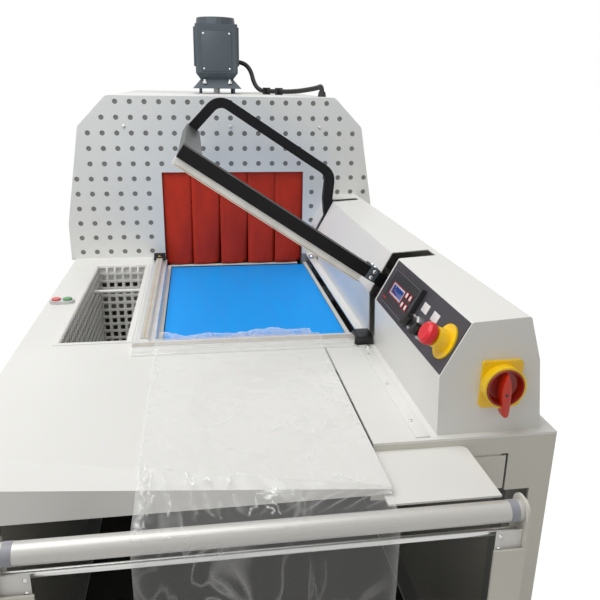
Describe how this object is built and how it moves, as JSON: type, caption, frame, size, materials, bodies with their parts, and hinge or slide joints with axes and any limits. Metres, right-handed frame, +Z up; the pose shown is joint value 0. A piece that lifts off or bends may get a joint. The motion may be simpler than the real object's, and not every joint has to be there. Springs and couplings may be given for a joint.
{
  "type": "l bar sealer",
  "caption": "L bar sealer with a shrink tunnel on the same base: a film tray, a raised L-shaped seal arm, a blue belt, a sloped control panel and a perforated hood with a strip curtain.",
  "frame": {"origin": "on the floor, under the middle of the machine's bounding box", "axes": "+X to the arm housing and control panel, +Y along the pack's travel from the film to the tunnel's exit, +Z up"},
  "size_m": [0.954, 2.466, 1.648],
  "materials": {
    "cabinet_paint": "satin",
    "deck_paint": "satin",
    "hood_paint": "fine texture",
    "frame_paint": "satin",
    "foot_steel": "satin",
    "panel_dark": "matt",
    "controller_plastic": "matt",
    "bright_metal": "polished",
    "knob_black": "matt",
    "signal_yellow": "satin",
    "signal_red": "gloss",
    "isolator_red": "satin",
    "bezel_grey": "satin",
    "button_red": "gloss",
    "button_green": "gloss",
    "jaw_aluminium": "extruded",
    "pad_silicone": "matt",
    "magnet_steel": "satin",
    "arm_black": "satin",
    "arm_jaw_cream": "matt",
    "shaft_steel": "ground",
    "bearing_iron": "painted",
    "conveyor_aluminium": "extruded",
    "belt_blue": "matt",
    "tunnel_belt_brown": "coated weave",
    "motor_slate": "painted",
    "chamber_panel": "skinned insulation",
    "curtain_red": "matt",
    "cable_black": "corrugated",
    "fitting_black": "matt",
    "bin_steel": "perforated",
    "film_clear": "clear film",
    "film_wound": "wound film"
  },
  "bodies": {
    "base": {"cabinet_panels": "cabinet_paint", "front_panel": "cabinet_paint", "film_cradle_frame": "cabinet_paint", "separator_deck": "deck_paint", "right_deck": "deck_paint", "tunnel_base_plates": "deck_paint", "film_platform": "deck_paint", "arm_housing": "deck_paint", "hood_front_panel": "hood_paint", "hood_shell": "hood_paint", "hood_rear_panel": "hood_paint", "cabinet_frame": "frame_paint", "levelling_feet": "foot_steel", "control_panel_plate": "panel_dark", "controller_unit": "controller_plastic", "selector_bezels": "bright_metal", "estop_guard": "signal_yellow", "isolator_plate": "signal_yellow", "start_stop_bezel": "bezel_grey", "lower_jaws": "jaw_aluminium", "seal_pads": "pad_silicone", "magnet_block": "magnet_steel", "heater_elements": "shaft_steel", "curtain_rods": "shaft_steel", "guide_rod": "shaft_steel", "arm_bearings": "bearing_iron", "conveyor_side_frames": "conveyor_aluminium", "tunnel_rails": "conveyor_aluminium", "conveyor_belt": "belt_blue", "tunnel_belt": "tunnel_belt_brown", "fan_motor": "motor_slate", "belt_motor": "motor_slate", "tunnel_chamber": "chamber_panel", "motor_cable": "cable_black", "cable_fittings": "fitting_black", "film_web": "film_clear"},
    "seal_arm": {"arm_front_beam": "arm_black", "arm_left_beam": "arm_black", "arm_rear_tube": "arm_black", "arm_jaws": "arm_jaw_cream", "arm_shaft": "shaft_steel"},
    "isolator_handle": {"isolator_handle": "isolator_red"},
    "estop_button": {"estop_button": "signal_red"},
    "selector_knob_front": {"selector_knob_front": "knob_black"},
    "selector_knob_rear": {"selector_knob_rear": "knob_black"},
    "start_button": {"start_button": "button_green"},
    "stop_button": {"stop_button": "button_red"},
    "drive_roller": {"drive_roller": "conveyor_aluminium"},
    "idler_roller": {"idler_roller": "conveyor_aluminium"},
    "tunnel_drive_roller": {"tunnel_drive_roller": "conveyor_aluminium"},
    "guide_roller": {"guide_roller": "conveyor_aluminium"},
    "film_roll": {"film_roll": "film_wound"},
    "fan_wheel": {"fan_wheel": "conveyor_aluminium"},
    "scrap_bin": {"scrap_bin": "bin_steel"},
    "exit_curtain": {"exit_curtain": "curtain_red"},
    "curtain_strip_1": {"curtain_strip_1": "curtain_red"},
    "curtain_strip_2": {"curtain_strip_2": "curtain_red"},
    "curtain_strip_3": {"curtain_strip_3": "curtain_red"},
    "curtain_strip_4": {"curtain_strip_4": "curtain_red"},
    "curtain_strip_5": {"curtain_strip_5": "curtain_red"}
  },
  "joints": [
    {"name": "seal_arm_pivot", "type": "hinge", "parent": "base", "child": "seal_arm", "pos_m": [0.428, -0.2845, 0.938], "axis": [0, 1, 0], "range_deg": [-33.4, 0], "stiffness_Nm_per_rad": 40, "springref_deg": 57.3},
    {"name": "isolator_turn", "type": "hinge", "parent": "base", "child": "isolator_handle", "pos_m": [0.374, -1.06, 0.987], "axis": [0, -1, 0], "range_deg": [0, 90]},
    {"name": "estop_press", "type": "slide", "parent": "base", "child": "estop_button", "axis": [0.884, 0, -0.4674], "range_m": [0, 0.005]},
    {"name": "selector_front_turn", "type": "hinge", "parent": "base", "child": "selector_knob_front", "pos_m": [0.2836, -0.933, 1.03086], "axis": [-0.884, 0, 0.4674], "range_deg": [-45, 45]},
    {"name": "selector_rear_turn", "type": "hinge", "parent": "base", "child": "selector_knob_rear", "pos_m": [0.2836, -0.885, 1.03086], "axis": [-0.884, 0, 0.4674], "range_deg": [-45, 45]},
    {"name": "start_press", "type": "slide", "parent": "base", "child": "start_button", "axis": [0, 0, -1], "range_m": [0, 0.003], "stiffness_N_per_m": 300, "springref_m": -0.002},
    {"name": "stop_press", "type": "slide", "parent": "base", "child": "stop_button", "axis": [0, 0, -1], "range_m": [0, 0.003], "stiffness_N_per_m": 300, "springref_m": -0.002},
    {"name": "drive_roller_turn", "type": "hinge", "parent": "base", "child": "drive_roller", "pos_m": [0.0375, 0.103, 0.841], "axis": [1, 0, 0], "continuous": true},
    {"name": "idler_roller_turn", "type": "hinge", "parent": "base", "child": "idler_roller", "pos_m": [0.0375, -0.5445, 0.841], "axis": [1, 0, 0], "continuous": true},
    {"name": "tunnel_drive_turn", "type": "hinge", "parent": "base", "child": "tunnel_drive_roller", "pos_m": [0.027, 1.183, 0.838], "axis": [1, 0, 0], "continuous": true},
    {"name": "film_roll_turn", "type": "hinge", "parent": "base", "child": "film_roll", "pos_m": [0, -1.137, 0.498], "axis": [1, 0, 0], "continuous": true},
    {"name": "guide_roller_turn", "type": "hinge", "parent": "base", "child": "guide_roller", "pos_m": [0, -1.212, 0.873], "axis": [1, 0, 0], "continuous": true},
    {"name": "fan_turn", "type": "hinge", "parent": "base", "child": "fan_wheel", "pos_m": [0, 0.683, 1.245], "axis": [0, 0, 1], "continuous": true},
    {"name": "bin_lift", "type": "slide", "parent": "base", "child": "scrap_bin", "axis": [0, 0, 1], "range_m": [0, 0.26]},
    {"name": "exit_curtain_swing", "type": "hinge", "parent": "base", "child": "exit_curtain", "pos_m": [0.027, 1.211, 1.172], "axis": [1, 0, 0], "range_deg": [0, 50]},
    {"name": "curtain_strip_1_swing", "type": "hinge", "parent": "base", "child": "curtain_strip_1", "pos_m": [-0.1474, 0.143, 1.172], "axis": [1, 0, 0], "range_deg": [0, 80]},
    {"name": "curtain_strip_2_swing", "type": "hinge", "parent": "base", "child": "curtain_strip_2", "pos_m": [-0.0602, 0.143, 1.172], "axis": [1, 0, 0], "range_deg": [0, 80]},
    {"name": "curtain_strip_3_swing", "type": "hinge", "parent": "base", "child": "curtain_strip_3", "pos_m": [0.027, 0.143, 1.172], "axis": [1, 0, 0], "range_deg": [0, 80]},
    {"name": "curtain_strip_4_swing", "type": "hinge", "parent": "base", "child": "curtain_strip_4", "pos_m": [0.1142, 0.143, 1.172], "axis": [1, 0, 0], "range_deg": [0, 80]},
    {"name": "curtain_strip_5_swing", "type": "hinge", "parent": "base", "child": "curtain_strip_5", "pos_m": [0.2014, 0.143, 1.172], "axis": [1, 0, 0], "range_deg": [0, 80]}
  ],
  "couplings": [
    {"joint": "idler_roller_turn", "follows": "drive_roller_turn", "ratio": 1},
    {"joint": "guide_roller_turn", "follows": "film_roll_turn", "ratio": 6}
  ]
}
